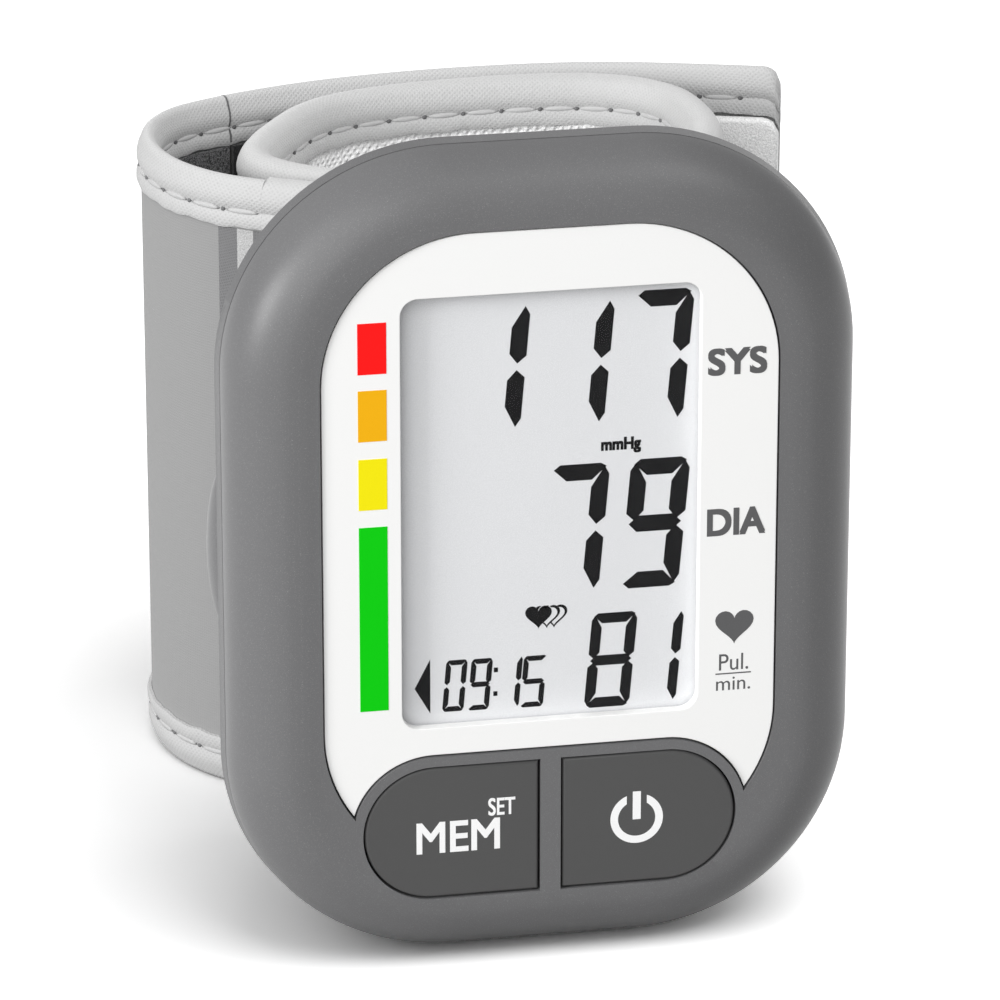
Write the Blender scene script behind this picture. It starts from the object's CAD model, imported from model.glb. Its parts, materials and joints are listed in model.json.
import json
import math

import bmesh
import bpy
from bpy.props import FloatProperty, FloatVectorProperty, PointerProperty
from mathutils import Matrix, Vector

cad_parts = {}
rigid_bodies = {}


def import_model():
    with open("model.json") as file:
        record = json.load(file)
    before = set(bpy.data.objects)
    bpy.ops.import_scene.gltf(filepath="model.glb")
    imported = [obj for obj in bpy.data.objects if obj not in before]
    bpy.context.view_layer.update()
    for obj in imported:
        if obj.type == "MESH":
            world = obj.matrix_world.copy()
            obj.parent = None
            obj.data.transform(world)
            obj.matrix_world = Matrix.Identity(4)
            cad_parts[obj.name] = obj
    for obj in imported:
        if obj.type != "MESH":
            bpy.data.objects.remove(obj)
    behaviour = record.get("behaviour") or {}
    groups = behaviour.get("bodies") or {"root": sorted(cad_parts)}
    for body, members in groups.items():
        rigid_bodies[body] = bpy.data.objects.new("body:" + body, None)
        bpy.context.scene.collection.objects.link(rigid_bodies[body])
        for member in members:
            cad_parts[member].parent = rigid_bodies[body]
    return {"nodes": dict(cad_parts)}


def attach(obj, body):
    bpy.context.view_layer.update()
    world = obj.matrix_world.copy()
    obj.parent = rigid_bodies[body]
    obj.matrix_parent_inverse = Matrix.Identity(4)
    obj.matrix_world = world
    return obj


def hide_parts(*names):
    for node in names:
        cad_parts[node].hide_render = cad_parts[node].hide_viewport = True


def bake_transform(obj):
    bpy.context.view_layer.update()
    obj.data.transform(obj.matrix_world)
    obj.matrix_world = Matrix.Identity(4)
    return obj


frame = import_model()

bl_info = {
    "name": "Wrist blood pressure monitor",
    "version": (1, 0, 0),
    "blender": (4, 5, 0),
    "location": "View3D > Sidebar > Monitor",
    "description": "Smooth shells, display, keys and wound cuff of a wrist blood pressure monitor",
    "category": "Object",
}

MM = 0.001
UP = Vector((0, 0, 1))
QUARTER_TURN = math.pi / 2
ALMOST = 0.9999  # share of a half height that still bevels into a round end
SAME = 1e-7  # places closer than this are equal
MERGE = 1e-6  # vertices closer than this are merged
CUT_MARGIN = 5 * MM  # how far a cutting tool reaches past what it cuts
INK = 0.02 * MM  # thickness of print
SEAT_GAP = 0.2 * MM  # air between a part and its seat


def shade(red, green, blue):
    """A colour given in screen values of 0 to 255, as linear values."""
    def linear(value):
        value /= 255
        return value / 12.92 if value <= 0.04045 else ((value + 0.055) / 1.055) ** 2.4
    return tuple(linear(value) for value in (red, green, blue))


def length(name, description, default):
    """A size in millimetres as a property in metres."""
    return FloatProperty(
        name=name, description=description, default=default * MM, unit="LENGTH", precision=5)


def colour(name, description, *screen):
    return FloatVectorProperty(
        name=name, description=description, default=shade(*screen), subtype="COLOR", min=0, max=1)


class HousingSizes(bpy.types.PropertyGroup):
    width: length("Width", "Width of the housing", 65.3)
    height: length("Height", "Height of the housing", 86.8)
    corner: length("Corner", "Corner radius seen from the front", 23)
    face: length("Face", "Distance of the panel's front before the middle of the standing flat", 11)
    proud: length("Proud", "How far the ring stands before the panel", 0.25)
    ring: length("Ring", "Width of the ring's roll from face to side wall", 7.6)
    step: length("Step", "How far the front shell is set in from the rear shell", 0.35)
    parting: length("Parting", "Depth of the parting line behind the panel's front", 6.8)
    groove: length("Groove", "Width of the parting line", 0.25)
    stand_start: length("Stand start", "Depth where the standing flat starts", 8.2)
    stand_end: length("Stand end", "Depth where the standing flat ends", 13.8)
    draft_end: length("Draft end", "Depth where the sides start to roll to the back", 25)
    draft: length("Draft", "How far the sides lean in over their depth", 3.6)
    top_drop: length("Top drop", "How far the top falls further than the sides lean in", 3.4)
    depth: length("Depth", "Depth of the back's middle", 33)
    roll: length("Roll", "Roll of the sides into the back", 9)
    saddle: length("Saddle", "Radius of the hollow that the cuff lies in", 60)
    wall: length("Wall", "Wall thickness", 2.2)
    front_wall: length("Front wall", "Thickness of the front wall", 3.25)


class FaceSizes(bpy.types.PropertyGroup):
    middle: length("Middle", "Height of the display's middle", 49.8)
    panel_half: length("Panel half width", "Half the width of the white panel", 23.2)
    panel_top: length("Panel top", "Top of the panel above the display's middle", 29.5)
    panel_corner: length("Panel corner", "Corner radius of the panel", 15.4)
    panel_low: length("Panel low", "Centre of the panel's lower corners below the middle", 23)
    panel_thick: length("Panel thickness", "Thickness of the panel", 1.2)
    window_width: length("Window width", "Width of the display window", 30.5)
    window_height: length("Window height", "Height of the display window", 46)
    window_corner: length("Window corner", "Corner radius of the window", 1.8)
    keys_middle: length("Keys middle", "Middle of the keys below the display's middle", 34.5)
    keys_half_width: length("Keys half width", "Half the width of the key field", 19.4)
    keys_half_height: length("Keys half height", "Half the height of the key field", 7.35)
    keys_divider: length("Divider", "Width of the bar between the keys", 2.1)
    keys_margin: length("Margin", "Ridge between panel and keys", 1.2)
    key_gap: length("Key gap", "Gap round each key", 0.18)


class CuffSizes(bpy.types.PropertyGroup):
    face: length("Face", "Distance of the cuff's outer face behind the standing flat's middle", 24.1)
    height: length("Height", "Height of the cuff", 70)
    cover: length("Cover", "Thickness of the outer cloth", 1.1)
    former: length("Former", "Thickness of the springy sheet", 0.35)
    bladder: length("Bladder", "Thickness of the flat air bladder", 0.7)
    lining: length("Lining", "Thickness of the lining", 0.7)
    gap: length("Gap", "Air between two layers", 0.12)
    tail: length("Tail", "Thickness of the tail band", 1.7)
    fastener: length("Fastener", "Thickness of hook and loop", 0.6)
    binding: length("Binding", "Thickness of the edge binding", 0.5)
    binding_height: length("Binding height", "Height of the edge binding", 5.4)
    crease: length("Crease", "Stitched crease below the binding's edge", 3.5)
    hem: length("Hem", "Edge of the layers below the binding's edge", 2.4)
    pitch: length("Stitch pitch", "Length of one stitch", 4.6)
    end_round: length("End round", "Corner radius of the tail's end", 2)
    tab: length("Tab", "Length of the folded end of the tail", 9)
    join: length("Join", "Join of the tail's tape beyond the seam", 40.6)
    strip_start: length("Strip start", "Start of the dark strip beyond the seam", 3)
    strip_end: length("Strip end", "End of the dark strip beyond the seam", 5.3)
    loop: length("Loop", "Length of the loop patch", 44)
    weave: length("Weave", "Pitch of the binding's weave", 0.42)
    rib: length("Rib", "Pitch of the lining's ribs", 0.85)


class Colours(bpy.types.PropertyGroup):
    housing: colour("Housing", "Satin grey of the shells", 101, 101, 102)
    key: colour("Keys", "Matt grey of the keys", 78, 78, 78)
    panel: colour("Panel", "White of the face panel", 247, 247, 246)
    digit: colour("Digits", "Dark of the lit segments", 34, 34, 35)
    print: colour("Print", "Grey of the printed labels", 96, 96, 97)
    key_print: colour("Key print", "White of the marks on the keys", 250, 250, 250)
    red: colour("Red", "Top of the scale", 255, 26, 26)
    orange: colour("Orange", "Second bar of the scale", 245, 180, 20)
    yellow: colour("Yellow", "Third bar of the scale", 247, 234, 16)
    green: colour("Green", "Lowest bar of the scale", 10, 205, 15)
    cover: colour("Cover", "Cloth of the loop", 190, 190, 190)
    tail: colour("Tail", "Cloth of the tail", 140, 140, 140)
    binding: colour("Binding", "Edge binding", 177, 177, 177)
    lining: colour("Lining", "Ribbed lining", 246, 246, 246)
    hook: colour("Hook", "Dark hook pad", 46, 46, 47)
    elastic: colour("Elastic", "Elastic at the seam", 112, 112, 113)


GROUPS = {"wm_housing": HousingSizes, "wm_face": FaceSizes, "wm_cuff": CuffSizes, "wm_colours": Colours}

# Outer face of the cuff seen from above, in millimetres: x and distance behind the cuff's face.
LOOP_ROUTE = (
    (9, 5.1), (3.5, 4.8), (-1.5, 6.1), (-7.4, 9.9), (-13.5, 14.1), (-18.4, 17.6), (-21.4, 21.6),
    (-21.9, 25.8), (-20.2, 30.6), (-17.6, 35.2), (-14.4, 39.8), (-10.3, 43.2), (-4, 45.6), (4, 46.8),
    (12, 47.1), (20, 46.2), (26, 43.4), (29.8, 38.5), (31, 32.5), (31, 26.5), (29.6, 20.5), (27, 14.3),
    (23, 8.2), (17, 3.1), (10, 0.4), (3, 0), (-3.5, 1.7), (-10, 5.9), (-16, 9.9),
)
TAIL_ROUTE = (
    (-21.5, 13), (-26, 16.4), (-29, 20.2), (-30.9, 24.4), (-31.8, 28.8), (-31.7, 33.2), (-30.4, 37.6),
    (-27.6, 41.4), (-23, 44.2), (-16.6, 46.8), (-9, 48.9), (0, 50.2), (9, 50.6), (18, 50.2), (26, 48.8),
    (33, 46.8), (42, 43.9),
)


# Selecting, cutting and shading, each as it is done by hand

def only(obj):
    """Makes obj the one selected and active object."""
    if bpy.context.mode != "OBJECT":
        bpy.ops.object.mode_set(mode="OBJECT")
    bpy.ops.object.select_all(action="DESELECT")
    if obj is not None:
        obj.select_set(True)
        bpy.context.view_layer.objects.active = obj


def named(name):
    """Names the active object and its mesh."""
    obj = bpy.context.object
    obj.name = obj.data.name = name
    return obj


def apply_place():
    bpy.ops.object.transform_apply(location=True, rotation=True, scale=True)


def pick(obj, kind, test):
    """Enters edit mode with just those edges or faces selected that pass the test."""
    only(obj)
    bpy.ops.object.mode_set(mode="EDIT")
    bpy.ops.mesh.select_mode(type=kind)
    bpy.ops.mesh.select_all(action="DESELECT")
    mesh = bmesh.from_edit_mesh(obj.data)
    for item in (mesh.edges if kind == "EDGE" else mesh.faces):
        if test(item):
            item.select_set(True)
    bmesh.update_edit_mesh(obj.data)


def pick_all(obj):
    pick(obj, "FACE", lambda face: True)


def done():
    bpy.ops.object.mode_set(mode="OBJECT")


def bevel(obj, test, width, segments):
    """Rounds the edges that pass the test."""
    pick(obj, "EDGE", test)
    bpy.ops.mesh.bevel(offset=width, segments=segments, profile=0.5, affect="EDGES", clamp_overlap=False)
    bpy.ops.mesh.select_all(action="SELECT")
    bpy.ops.mesh.remove_doubles(threshold=MERGE)
    done()


def along_y(edge):
    a, b = edge.verts
    return abs(a.co.x - b.co.x) < SAME and abs(a.co.z - b.co.z) < SAME


def change(obj, kind, **values):
    """Adds a modifier, sets it and applies it."""
    only(obj)
    modifier = obj.modifiers.new(kind.title(), kind)
    for key, value in values.items():
        setattr(modifier, key, value)
    bpy.ops.object.modifier_apply(modifier=modifier.name)
    return obj


def combine(obj, operation, *tools):
    """Applies the tools one after the other and removes them."""
    for tool in tools:
        change(obj, "BOOLEAN", operation=operation, object=tool, solver="EXACT")
        bpy.data.objects.remove(tool)
    return obj


def cut(obj, *tools):
    return combine(obj, "DIFFERENCE", *tools)


def smooth(obj, angle=32):
    only(obj)
    bpy.ops.object.shade_smooth_by_angle(angle=math.radians(angle))
    return change(obj, "WEIGHTED_NORMAL", keep_sharp=True, weight=80)


def block(name, low, high):
    """A box between two corners."""
    only(None)
    low, high = Vector(low), Vector(high)
    bpy.ops.mesh.primitive_cube_add(size=1, location=(low + high) / 2)
    obj = named(name)
    obj.scale = high - low
    apply_place()
    return obj


def rod(name, middle, radius, span, sides, turn):
    """A cylinder that stands upright, or is turned over about x."""
    only(None)
    bpy.ops.mesh.primitive_cylinder_add(
        vertices=sides, radius=radius, depth=span, location=middle, rotation=(turn, 0, 0))
    obj = named(name)
    apply_place()
    return obj


def rod_y(name, x, z, radius, front, back, sides=32):
    return rod(name, (x, (front + back) / 2, z), radius, back - front, sides, QUARTER_TURN)


def rod_z(name, x, y, radius, low, high, sides=48):
    return rod(name, (x, y, (low + high) / 2), radius, high - low, sides, 0)


def slab(name, left, right, front, back, low, high, corner, segments=20):
    """A plate with rounded corners in the front view."""
    obj = block(name, (left, front, low), (right, back, high))
    bevel(obj, along_y, corner, segments)
    return obj


def join(name, first, *others):
    """Makes one mesh of several."""
    only(first)
    for other in others:
        other.select_set(True)
    bpy.ops.object.join()
    return named(name)


def finish_piece(obj, material, body, slot, *nodes):
    """Gives a piece its material, body and slot, and says which CAD nodes it stands for."""
    obj.data.materials.clear()
    obj.data.materials.append(material)
    if body:
        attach(obj, body)
    if nodes:
        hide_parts(*nodes)
    return obj


# Finishes

class Paint:
    """One material with short ways to add nodes."""

    def __init__(self, name):
        self.material = bpy.data.materials.new(name)
        self.material.use_nodes = True
        self.nodes = self.material.node_tree.nodes
        self.links = self.material.node_tree.links
        self.shader = self.nodes["Principled BSDF"]

    def add(self, kind, **values):
        """A new node with values for its sockets or its settings."""
        node = self.nodes.new(kind)
        for key, value in values.items():
            if key in node.inputs:
                node.inputs[key].default_value = value
            else:
                setattr(node, key, value)
        return node

    def link(self, source, target):
        self.links.new(source, target)

    def set(self, **values):
        for key, value in values.items():
            self.shader.inputs[key.replace("_", " ")].default_value = value
        return self

    def place(self, kind="Object"):
        return self.add("ShaderNodeTexCoord").outputs[kind]

    def noise(self, place, scale, detail=2.0):
        node = self.add("ShaderNodeTexNoise", Scale=scale, Detail=detail)
        self.link(place, node.inputs["Vector"])
        return node.outputs["Fac"]

    def wave(self, place, pitch, turn=0.0, distortion=0.0):
        """Bands with the given pitch, turned in the plane of the coordinates."""
        mapping = self.add("ShaderNodeMapping", Rotation=(0, 0, turn))
        self.link(place, mapping.inputs["Vector"])
        node = self.add("ShaderNodeTexWave", Scale=math.pi / 10 / pitch, Distortion=distortion)
        self.link(mapping.outputs["Vector"], node.inputs["Vector"])
        return node.outputs["Fac"]

    def math(self, operation, first, second):
        node = self.add("ShaderNodeMath", operation=operation)
        for socket, value in zip(node.inputs, (first, second)):
            if isinstance(value, (int, float)):
                socket.default_value = value
            else:
                self.link(value, socket)
        return node.outputs[0]

    def tint(self, factor, tone, dark, light, low=0.3, high=0.7):
        """Base colour that runs from a darker to a lighter tone with the factor."""
        ramp = self.add("ShaderNodeValToRGB")
        self.ramp = ramp.color_ramp
        ends = self.ramp.elements
        ends[0].position, ends[1].position = low, high
        ends[0].color = (*[c * dark for c in tone], 1)
        ends[1].color = (*[min(1, c * light) for c in tone], 1)
        self.link(factor, ramp.inputs["Fac"])
        self.link(ramp.outputs["Color"], self.shader.inputs["Base Color"])

    def bump(self, factor, height, strength):
        node = self.add("ShaderNodeBump", Distance=height, Strength=strength)
        self.link(factor, node.inputs["Height"])
        self.link(node.outputs["Normal"], self.shader.inputs["Normal"])

    def mix(self, factor, first, second):
        """Takes the first shader where the factor is 0 and the second where it is 1."""
        node = self.add("ShaderNodeMixShader")
        for source, target in zip((factor, first.outputs[0], second.outputs[0]), node.inputs):
            self.link(source, target)
        self.link(node.outputs[0], self.nodes["Material Output"].inputs["Surface"])
        self.nodes.remove(self.shader)
        return self.material


def plastic(name, tone, roughness, grain=0.12, contrast=0.05, relief=0.01, metallic=0.0, gloss=0.5):
    """Moulded plastic, print, thread or metal. Grain and relief are in millimetres."""
    paint = Paint(name).set(Roughness=roughness, Metallic=metallic, Specular_IOR_Level=gloss)
    speck = paint.noise(paint.place(), math.pi / (grain * MM))
    paint.tint(speck, tone, 1 - contrast, 1 + contrast)
    paint.bump(speck, relief * MM, strength=0.4)
    return paint.material


def ink(name, tone, contrast, roughness=0.6, gloss=0.1):
    """Printed ink."""
    return plastic(name, tone, roughness, grain=0.5, contrast=contrast, relief=0.001, gloss=gloss)


def satin(name, tone):
    """Satin paint with a fine grain and a few bright flecks."""
    grain_scale, grain_share = 9000, 0.7
    fleck_scale, fleck_level, fleck_gain = 15000, 0.74, 1.7
    paint = Paint(name).set(Roughness=0.36, Specular_IOR_Level=0.27)
    place = paint.place()
    grain = paint.noise(place, grain_scale)
    fleck = paint.math("GREATER_THAN", paint.noise(place, fleck_scale, detail=0), fleck_level)
    factor = paint.math("ADD", paint.math("MULTIPLY", grain, grain_share), fleck)
    paint.tint(factor, tone, dark=0.95, light=1.05, low=0.2, high=0.5)
    bright = paint.ramp.elements.new(1)
    bright.color = (*[min(1, c * fleck_gain) for c in tone], 1)
    paint.bump(grain, 0.01 * MM, strength=0.4)
    return paint.material


def clear_lens(name):
    """Clear plastic that lets the display show and keeps a faint, uneven gloss on its outside."""
    haze_scale = 300
    paint = Paint(name)
    clear = paint.add("ShaderNodeBsdfTransparent")
    gloss = paint.add("ShaderNodeBsdfGlossy", Roughness=0.12)
    facing = paint.add("ShaderNodeFresnel", IOR=1.2)
    inside = paint.add("ShaderNodeNewGeometry").outputs["Backfacing"]
    outside = paint.math("MULTIPLY", facing.outputs["Fac"], paint.math("SUBTRACT", 1, inside))
    haze = paint.math("MULTIPLY", paint.noise(paint.place(), haze_scale), outside)
    return paint.mix(haze, clear, gloss)


def woven(name, tone, pitch, relief, turn=0.0, contrast=0.12):
    """Cloth with two crossing thread directions, laid out along the piece."""
    paint = Paint(name).set(Roughness=0.95, Sheen_Weight=0.25, Specular_IOR_Level=0.15)
    flat = paint.place("UV")
    warp = paint.wave(flat, pitch, turn)
    weft = paint.wave(flat, pitch, turn + QUARTER_TURN)
    threads = paint.math("MAXIMUM", warp, weft)
    fuzz = paint.noise(paint.place(), scale=900, detail=4)
    height = paint.math("ADD", threads, fuzz)
    paint.tint(height, tone, 1 - contrast, 1 + contrast / 3, low=0.5, high=1.4)
    paint.bump(height, relief * MM, strength=0.7)
    return paint.material


def ribbed(name, tone, pitch, relief):
    """Coarse knit: slanting ribs broken by cross rows."""
    paint = Paint(name).set(Roughness=1.0, Sheen_Weight=0.3, Specular_IOR_Level=0.1)
    flat = paint.place("UV")
    slant = paint.wave(flat, pitch, math.radians(35), distortion=1.2)
    cross = paint.wave(flat, pitch * 0.8, math.radians(-50), distortion=1.2)
    knots = paint.math("MULTIPLY", slant, cross)
    fuzz = paint.noise(paint.place(), scale=1500, detail=3)
    height = paint.math("ADD", knots, fuzz)
    paint.tint(height, tone, dark=0.78, light=1.06, high=0.75)
    paint.bump(height, relief * MM, strength=0.8)
    return paint.material


def fuzzy(name, tone, grain, dark, light, relief):
    """Speckled pile of hook and loop cloth."""
    paint = Paint(name).set(Roughness=1.0, Sheen_Weight=0.3, Specular_IOR_Level=0.1)
    pile = paint.noise(paint.place(), math.pi / (grain * MM), detail=5)
    paint.tint(pile, tone, dark, light, low=0.35, high=0.65)
    paint.bump(pile, relief * MM, strength=0.8)
    return paint.material


# Housing shells. Places are measured from the housing's middle, from the panel's front and from the ground.

UPPER_SCREW_X = 20.9 * MM
UPPER_SCREW_DROP = 16.5 * MM
LOWER_SCREW_X = 23.4 * MM
LOWER_SCREW_HEIGHT = 11 * MM
SCREW_WELL = 2.6 * MM
SCREW_WELL_DEPTH = 13.5 * MM
SCREW_HOLE = 1.4 * MM
SCREW_HOLE_DEPTH = 6 * MM
SCREW_COLUMN = 4.1 * MM
OPENING_HALF_WIDTH = 17.4 * MM
OPENING_HALF_HEIGHT = 24.5 * MM
BOARD_LEAD = 1 * MM
BOARD_BACK = 10.4 * MM
CHAMBER_FRONT = 9.4 * MM
CHAMBER_BACK = 30.4 * MM
CHAMBER_END_INSET = 3.3 * MM
CHAMBER_LEFT = -12.5 * MM
LEFT_OF_ALL = -50 * MM
BEHIND_ALL = 40 * MM
WIDE_MARGIN = 10 * MM

DOOR_OUTSIDE = -40 * MM
DOOR_INSIDE = -19.6 * MM
DOOR_FRONT = 10.6 * MM
DOOR_BACK = 33.7 * MM
DOOR_LOW = 15.35 * MM
DOOR_HIGH = 66.45 * MM
DOOR_WALL = 1.6 * MM
POCKET_WALL = 1.8 * MM
THUMB_DEPTH = 14.5 * MM
THUMB_SINK = 0.8 * MM
THUMB_DROP = 1.1 * MM
THUMB_ROOT = 1.5 * MM
THUMB_HALF_SIZES = (2.3 * MM, 3.6 * MM, 9.2 * MM)
CELL_PLACES = ((-23 * MM, 17.4 * MM), (-19.6 * MM, 27.9 * MM))
LANE_RADIUS = 5.6 * MM
LANE_LOW = 16.75 * MM
LANE_HIGH = 65.05 * MM


def housing_form(name, stations, segments=28):
    """A block with the housing's outline. Each station gives a depth, how far the outline is set in,
    how much further the top falls, and how far the bottom rises."""
    size = bpy.context.scene.wm_housing
    half = size.width / 2
    depths = [station[0] - size.face for station in stations]
    obj = slab(name, -half, half, depths[0], depths[-1], 0, size.height, size.corner, segments)
    pick_all(obj)
    for depth in depths[1:-1]:
        bpy.ops.mesh.select_all(action="SELECT")
        bpy.ops.mesh.bisect(plane_co=(0, depth, 0), plane_no=(0, 1, 0))
    done()
    for vertex in obj.data.vertices:
        nearest = min(range(len(depths)), key=lambda i: abs(depths[i] - vertex.co.y))
        core = Vector((
            min(max(vertex.co.x, size.corner - half), half - size.corner), vertex.co.y,
            min(max(vertex.co.z, size.corner), size.height - size.corner)))
        inset, drop, rise = stations[nearest][1:]
        out = (vertex.co - core).normalized()
        lift = -drop if vertex.co.z > size.height / 2 else rise - inset
        vertex.co = core + out * (size.corner - inset) + UP * lift
    return obj


def even(depth, inset):
    """A station that is set in by the same amount all round."""
    return depth, inset, 0, inset


def ring_stations(steps=14):
    """Quarter roll of the ring, from its flat front to the parting line."""
    size = bpy.context.scene.wm_housing
    stations = []
    for i in range(steps, -1, -1):
        turn = i / steps * QUARTER_TURN
        depth = size.parting - (size.parting + size.proud) * math.sin(turn)
        stations.append(even(depth, size.step + size.ring * (1 - math.cos(turn))))
    return stations


def rear_stations(inset, steps=12):
    """Depths and insets of the rear shell, or of a form set in from it."""
    size = bpy.context.scene.wm_housing
    stations = [even(size.parting + size.groove, size.step + inset)]
    stations += [rear_station(depth, inset) for depth in (size.stand_start, size.stand_end, size.draft_end)]
    deep = size.depth + size.roll / 2 - size.draft_end
    for i in range(1, steps + 1):
        turn = i / steps * QUARTER_TURN
        stations.append(rear_station(
            size.draft_end + deep * math.sin(turn), inset + size.roll * (1 - math.cos(turn))))
    return stations


def rear_station(depth, inset):
    """The rear wall at a depth: sides and top lean in from the rim, the bottom behind the standing flat."""
    size = bpy.context.scene.wm_housing
    lean = (depth - size.stand_start) / (size.draft_end - size.stand_start)
    rise = max(0, (depth - size.stand_end) / (size.draft_end - size.stand_end))
    return depth, inset + size.draft * lean, size.top_drop * lean, inset + size.draft * rise


def posts():
    """Places of the four case screws."""
    top = bpy.context.scene.wm_housing.height - UPPER_SCREW_DROP
    for side in (-1, 1):
        yield side * UPPER_SCREW_X, top
        yield side * LOWER_SCREW_X, LOWER_SCREW_HEIGHT


def key_field(name, grow, front, back, left=None, right=None):
    """The pill that both keys share, made larger by grow and cut off at left or right."""
    size = bpy.context.scene.wm_face
    middle = size.middle - size.keys_middle
    half_width, half_height = size.keys_half_width + grow, size.keys_half_height + grow
    pill = slab(
        name, -half_width, half_width, front, back, middle - half_height, middle + half_height,
        half_height * ALMOST)
    for limit, inner in ((left, True), (right, False)):
        if limit is not None:
            pick_all(pill)
            bpy.ops.mesh.bisect(
                plane_co=(limit, 0, 0), plane_no=(1, 0, 0), use_fill=True, clear_inner=inner,
                clear_outer=not inner)
            done()
    return pill


def key_half(name, side, grow, front, back):
    """The half of the key field that one key takes up."""
    inner = bpy.context.scene.wm_face.keys_divider / 2 - grow
    if side > 0:
        return key_field(name, grow, front, back, left=inner)
    return key_field(name, grow, front, back, right=-inner)


def panel_form(name, grow, front, back):
    """The panel's outline: a rounded plate that ends above the key field."""
    size = bpy.context.scene.wm_face
    corner = size.panel_corner + grow
    plate = slab(
        name, -size.panel_half - grow, size.panel_half + grow, front, back,
        size.middle - size.panel_low - corner, size.middle + size.panel_top + grow, corner, segments=28)
    keys = key_field("keys", size.keys_margin - grow, front - CUT_MARGIN, back + CUT_MARGIN)
    return cut(plate, keys)


def shell_paint(context):
    return satin("satin_grey", context.scene.wm_colours.housing)


class MONITOR_OT_front_housing(bpy.types.Operator):
    """Model the front shell: a satin ring with seats for the panel, the display and the keys"""
    bl_idname = "wristmonitor.front_housing"
    bl_label = "Front housing"

    def execute(self, context):
        size, face = context.scene.wm_housing, context.scene.wm_face
        front = -size.face
        near, far = front - CUT_MARGIN, front + size.parting + CUT_MARGIN
        shell = housing_form("front_shell", ring_stations())
        hollow = housing_form("hollow", [
            even(size.front_wall - size.proud, size.step + size.ring - size.wall),
            even(size.parting, size.step + size.wall),
            even(size.parting + CUT_MARGIN, size.step + size.wall)])
        seat = panel_form("seat", face.key_gap, near, front + face.panel_thick + SEAT_GAP)
        opening = block(
            "opening", (-OPENING_HALF_WIDTH, near, face.middle - OPENING_HALF_HEIGHT),
            (OPENING_HALF_WIDTH, far, face.middle + OPENING_HALF_HEIGHT))
        keys = [key_half("key", side, 0, near, far) for side in (-1, 1)]
        cut(shell, hollow, seat, opening, *keys)
        smooth(shell)
        finish_piece(shell, shell_paint(context), "monitor", "housing", "front_housing")
        return {"FINISHED"}


class MONITOR_OT_rear_housing(bpy.types.Operator):
    """Model the rear shell with its hollowed back, battery bay and screw wells"""
    bl_idname = "wristmonitor.rear_housing"
    bl_label = "Rear housing"

    def execute(self, context):
        size = context.scene.wm_housing
        back = size.depth - size.face
        far = back + size.roll
        shell = housing_form("rear_shell", rear_stations(0))
        saddle = rod_z(
            "saddle", 0, back + size.saddle, size.saddle, -CUT_MARGIN, size.height + CUT_MARGIN, sides=240)
        board = housing_form("board", [
            even(size.parting - BOARD_LEAD, size.step + size.wall),
            even(BOARD_BACK, size.step + size.wall)])
        cut(shell, saddle, board, self.chamber(size))
        well, hole = SCREW_WELL_DEPTH - size.face, SCREW_HOLE_DEPTH - size.face
        wells = [rod_y("well", x, z, SCREW_WELL, well, far) for x, z in posts()]
        holes = [rod_y("hole", x, z, SCREW_HOLE, hole, far, sides=20) for x, z in posts()]
        cut(shell, *wells, *holes, door_pocket(POCKET_WALL, SEAT_GAP), *battery_lanes())
        smooth(shell)
        finish_piece(shell, shell_paint(context), "monitor", "housing", "rear_housing")
        return {"FINISHED"}

    @staticmethod
    def chamber(size):
        """The room for pump and valve, beside the battery bay and clear of the screw columns."""
        room = housing_form("chamber", [
            rear_station(CHAMBER_FRONT, size.wall), rear_station(size.stand_end, size.wall),
            rear_station(size.draft_end, size.wall), rear_station(CHAMBER_BACK, CHAMBER_END_INSET)])
        side = block(
            "side", (LEFT_OF_ALL, -2 * WIDE_MARGIN, -WIDE_MARGIN),
            (CHAMBER_LEFT, BEHIND_ALL, size.height + WIDE_MARGIN))
        columns = [rod_y("column", x, z, SCREW_COLUMN, -WIDE_MARGIN, BEHIND_ALL) for x, z in posts()]
        return cut(room, side, *columns)


def door_pocket(wall, grow):
    """The part of the rear form's wall that the battery door takes up."""
    face = bpy.context.scene.wm_housing.face
    outer = block(
        "pocket", (DOOR_OUTSIDE, DOOR_FRONT - face - grow, DOOR_LOW - grow),
        (DOOR_INSIDE, DOOR_BACK - face + grow, DOOR_HIGH + grow))
    return cut(outer, housing_form("inner", rear_stations(wall)))


def battery_lanes():
    """Open lanes for the two cells."""
    face = bpy.context.scene.wm_housing.face
    for x, depth in CELL_PLACES:
        y = depth - face
        yield rod_z("lane", x, y, LANE_RADIUS, LANE_LOW, LANE_HIGH)
        yield block("lane", (LEFT_OF_ALL, y - LANE_RADIUS, LANE_LOW), (x, y + LANE_RADIUS, LANE_HIGH))


class MONITOR_OT_battery_door(bpy.types.Operator):
    """Model the battery door in the side with its thumb rise"""
    bl_idname = "wristmonitor.battery_door"
    bl_label = "Battery door"

    def execute(self, context):
        size = context.scene.wm_housing
        form = housing_form("outer", rear_stations(0))
        door = combine(door_pocket(DOOR_WALL, 0), "INTERSECT", form)
        side = rear_station(THUMB_DEPTH, THUMB_SINK)[1] - size.width / 2
        only(None)
        bpy.ops.mesh.primitive_uv_sphere_add(
            segments=40, ring_count=24, radius=1, scale=THUMB_HALF_SIZES,
            location=(side, THUMB_DEPTH - size.face, size.height / 2 - THUMB_DROP))
        thumb = named("thumb")
        apply_place()
        cut(thumb, housing_form("inner", rear_stations(THUMB_ROOT)))
        combine(door, "UNION", thumb)
        smooth(door)
        finish_piece(door, shell_paint(context), "battery_door", "housing", "battery_door")
        return {"FINISHED"}


# Face: panel, lens, print and display. Places on the face are in millimetres from the display's middle.

LETTER_INK = 0.016 * MM
LETTER_STEP = 0.003 * MM


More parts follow.
